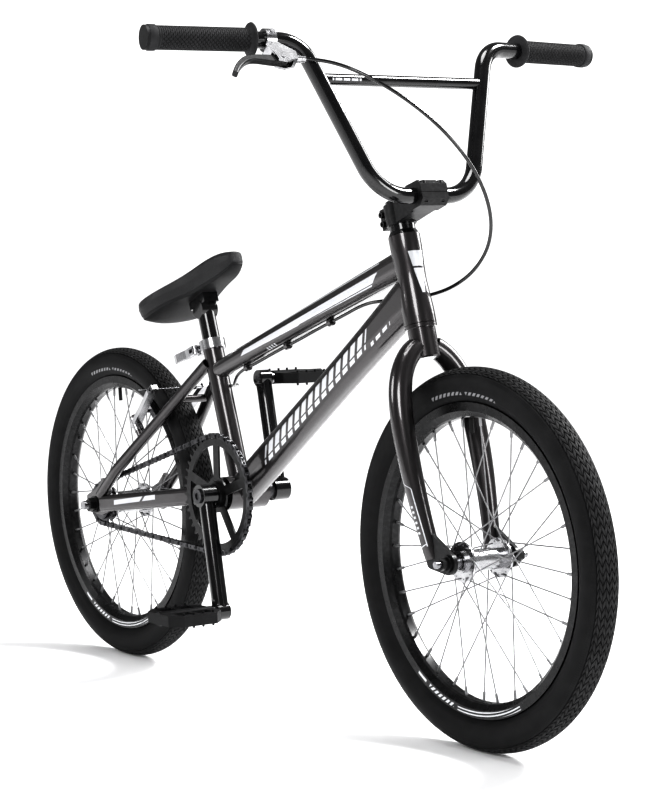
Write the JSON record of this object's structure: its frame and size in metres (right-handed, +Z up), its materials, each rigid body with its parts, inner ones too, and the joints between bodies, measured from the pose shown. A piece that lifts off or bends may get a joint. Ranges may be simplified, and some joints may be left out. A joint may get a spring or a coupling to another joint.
{
  "type": "bmx bike",
  "caption": "Small-wheeled freestyle BMX bicycle with a high cross-braced handlebar, tilted saddle, platform pedals, chain drive and a hand-lever rear rim brake.",
  "frame": {"origin": "on the ground, midway between the two axles, in the bicycle's mid-plane", "axes": "+X forwards, +Y to the rider's left, +Z up; the drive side is -Y"},
  "size_m": [1.426, 0.7472, 0.957],
  "materials": {
    "frame_paint": "dark graphite metallic under a gloss clear coat",
    "black_paint": "gloss black",
    "black_alloy": "satin black anodised",
    "silver_alloy": "polished silver",
    "steel": "bright steel",
    "dark_steel": "dark oiled steel",
    "tyre": "matt tread, satin sidewalls",
    "tube_rubber": "matt",
    "grip_rubber": "matt, finely ribbed",
    "saddle_cover": "semi gloss synthetic leather",
    "black_plastic": "fine grained",
    "cable_sheath": "gloss black"
  },
  "bodies": {
    "frame": {"head_tube": "frame_paint", "top_tube": "frame_paint", "down_tube": "frame_paint", "seat_tube": "frame_paint", "bottom_bracket_shell": "frame_paint", "chain_stay_right": "frame_paint", "chain_stay_left": "frame_paint", "seat_stay_right": "frame_paint", "seat_stay_left": "frame_paint", "rear_dropouts": "frame_paint", "stay_bridges": "frame_paint", "brake_bosses": "frame_paint", "seat_clamp": "silver_alloy", "headset_bearings": "steel", "bottom_bracket_bearings": "steel", "cable_guides": "frame_paint", "brake_cable": "cable_sheath", "chain": "dark_steel", "rear_axle": "steel", "rear_axle_nuts": "dark_steel"},
    "steering": {"fork_steerer": "frame_paint", "fork_leg_right": "frame_paint", "fork_leg_left": "frame_paint", "fork_dropouts": "black_paint", "headset_spacers": "black_alloy", "stem_body": "black_alloy", "stem_cap": "black_alloy", "stem_bolts": "dark_steel", "handlebar": "black_paint", "crossbar": "black_paint", "grip_right": "grip_rubber", "grip_left": "grip_rubber", "bar_end_plugs": "black_plastic", "lever_bracket": "silver_alloy", "front_axle": "steel", "front_axle_nuts": "dark_steel"},
    "front_wheel": {"front_tyre": "tyre", "front_inner_tube": "tube_rubber", "front_rim": "black_alloy", "front_spokes": "steel", "front_hub": "silver_alloy"},
    "rear_wheel": {"rear_tyre": "tyre", "rear_inner_tube": "tube_rubber", "rear_rim": "black_alloy", "rear_spokes": "steel", "rear_hub": "silver_alloy"},
    "freewheel": {"rear_cog": "dark_steel"},
    "crankset": {"crank_spindle": "dark_steel", "crank_arm_right": "black_paint", "crank_arm_left": "black_paint", "chainring": "black_alloy", "pedal_axles": "steel"},
    "right_pedal": {"pedal_right": "black_plastic"},
    "left_pedal": {"pedal_left": "black_plastic"},
    "lever": {"brake_lever": "black_alloy"},
    "right_brake_arm": {"brake_arm_right": "silver_alloy"},
    "left_brake_arm": {"brake_arm_left": "silver_alloy"},
    "seat": {"seat_post": "black_paint", "saddle": "saddle_cover"},
    "seat_lever": {"qr_lever": "silver_alloy"}
  },
  "joints": [
    {"name": "steering", "type": "hinge", "parent": "frame", "child": "steering", "pos_m": [0.32164, 0, 0.61708], "axis": [-0.2723, 0, 0.9622], "range_deg": [-80, 80], "deforming": ["brake_cable"]},
    {"name": "front_wheel_spin", "type": "hinge", "parent": "steering", "child": "front_wheel", "pos_m": [0.46, 0, 0.253], "axis": [0, 1, 0], "continuous": true},
    {"name": "rear_wheel_spin", "type": "hinge", "parent": "frame", "child": "rear_wheel", "pos_m": [-0.46, 0, 0.253], "axis": [0, 1, 0], "continuous": true},
    {"name": "crank_spin", "type": "hinge", "parent": "frame", "child": "crankset", "pos_m": [-0.11162, 0, 0.296], "axis": [0, 1, 0], "continuous": true, "deforming": ["chain"]},
    {"name": "freewheel_spin", "type": "hinge", "parent": "frame", "child": "freewheel", "pos_m": [-0.46, -0.045, 0.253], "axis": [0, 1, 0], "continuous": true},
    {"name": "right_pedal_spin", "type": "hinge", "parent": "crankset", "child": "right_pedal", "pos_m": [-0.05987, -0.076, 0.12883], "axis": [0, 1, 0], "continuous": true},
    {"name": "left_pedal_spin", "type": "hinge", "parent": "crankset", "child": "left_pedal", "pos_m": [-0.16337, 0.076, 0.46317], "axis": [0, 1, 0], "continuous": true},
    {"name": "brake_lever_pull", "type": "hinge", "parent": "steering", "child": "lever", "pos_m": [0.30951, -0.19605, 0.9056], "axis": [-0.7381, 0.1169, -0.6645], "range_deg": [0, 11], "stiffness_Nm_per_rad": 0.6, "springref_deg": -5.73},
    {"name": "right_brake_arm_swing", "type": "hinge", "parent": "frame", "child": "right_brake_arm", "pos_m": [-0.35621, -0.04, 0.39046], "axis": [-0.6455, 0, 0.7638], "range_deg": [0, 2.5]},
    {"name": "left_brake_arm_swing", "type": "hinge", "parent": "frame", "child": "left_brake_arm", "pos_m": [-0.35621, 0.04, 0.39046], "axis": [0.6455, 0, -0.7638], "range_deg": [0, 2.5]},
    {"name": "seat_height", "type": "slide", "parent": "frame", "child": "seat", "axis": [-0.3239, 0, 0.9461], "range_m": [-0.03, 0.05]},
    {"name": "seat_lever_swing", "type": "hinge", "parent": "frame", "child": "seat_lever", "pos_m": [-0.21091, -0.0175, 0.50881], "axis": [-0.3239, 0, 0.9461], "range_deg": [0, 120]}
  ],
  "couplings": [
    {"joint": "freewheel_spin", "follows": "crank_spin", "ratio": 2.75},
    {"joint": "right_brake_arm_swing", "follows": "brake_lever_pull", "ratio": 0.22},
    {"joint": "left_brake_arm_swing", "follows": "brake_lever_pull", "ratio": 0.22}
  ]
}
